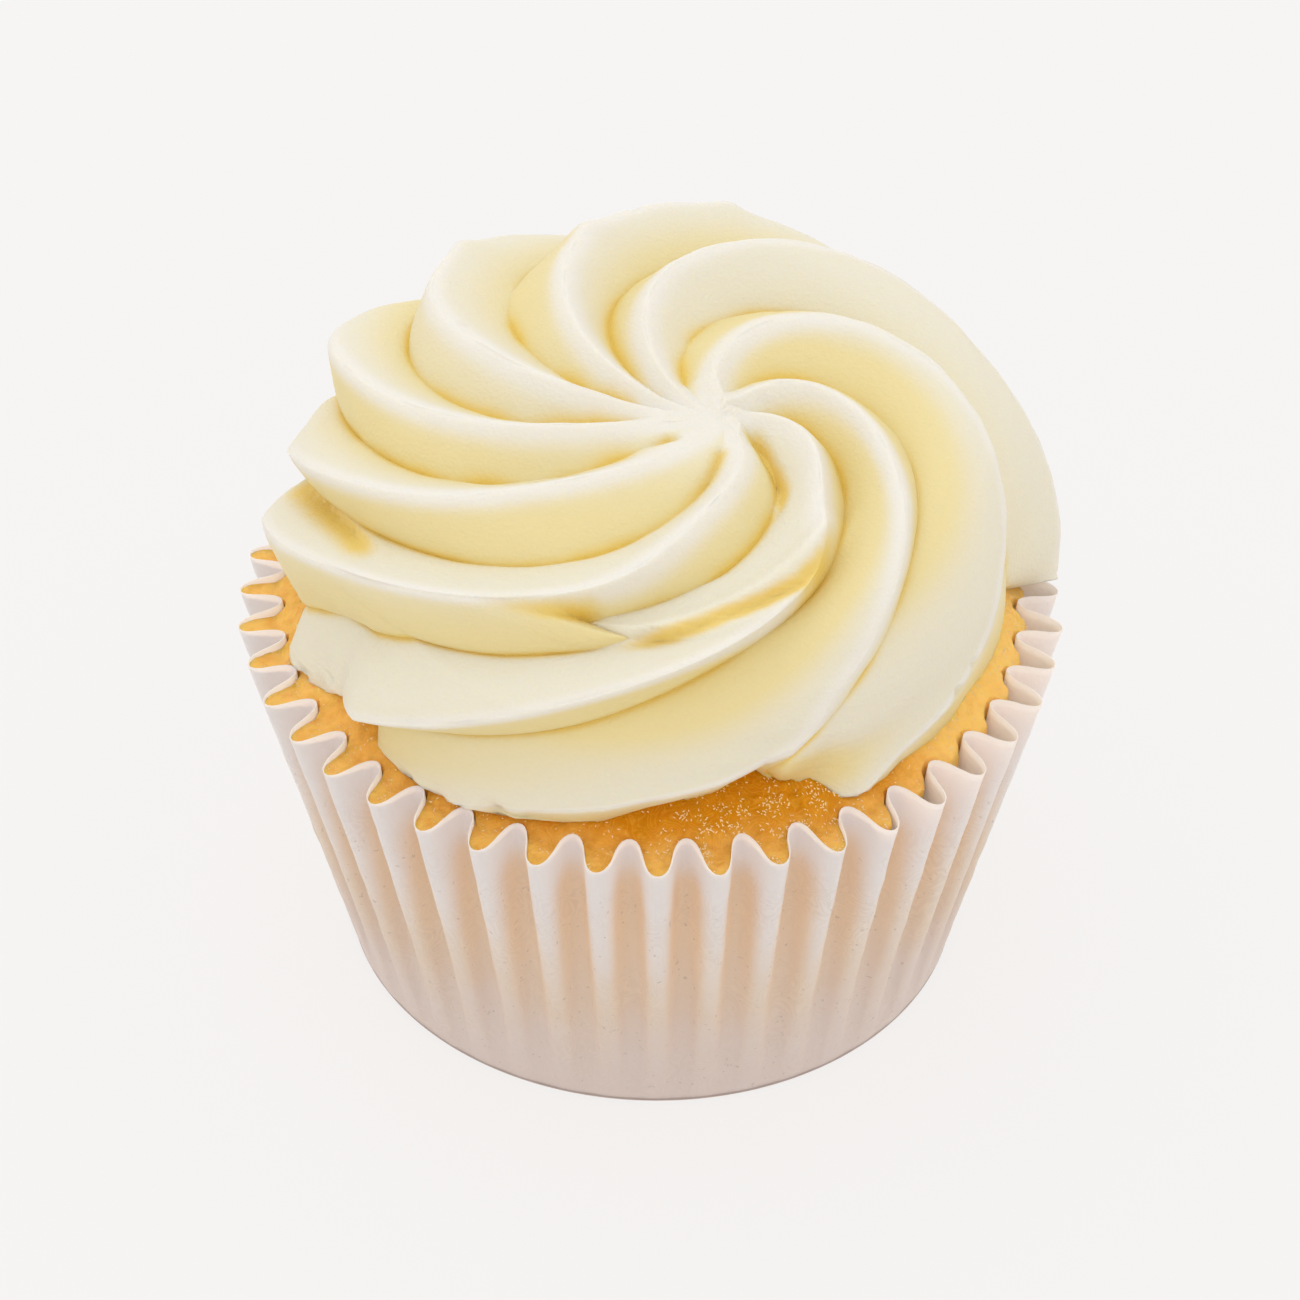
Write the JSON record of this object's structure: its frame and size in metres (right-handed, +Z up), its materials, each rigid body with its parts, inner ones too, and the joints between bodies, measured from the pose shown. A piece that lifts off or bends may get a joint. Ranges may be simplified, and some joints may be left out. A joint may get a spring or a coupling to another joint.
{
  "type": "cupcake",
  "caption": "Vanilla cupcake in a white fluted paper case, its golden sponge topped with one broad swirl of piped buttercream.",
  "frame": {"origin": "foot of the paper case, under the middle of the object's outline, on the case's flat underside", "axes": "+Z up out of the case, -Y towards the viewer of the shown side, +X to the viewer's right"},
  "size_m": [0.0629, 0.063, 0.0503],
  "materials": {
    "case_paper": "thin matt greaseproof paper, slightly see-through, tanned where the cake touches it",
    "golden_sponge": "baked sponge with a moist golden top, finely pitted, small bright glints",
    "vanilla_buttercream": "satin pale cream buttercream, very finely grained"
  },
  "bodies": {
    "root": {"paper_case": "case_paper", "sponge_cake": "golden_sponge", "buttercream_swirl": "vanilla_buttercream"}
  },
  "joints": []
}
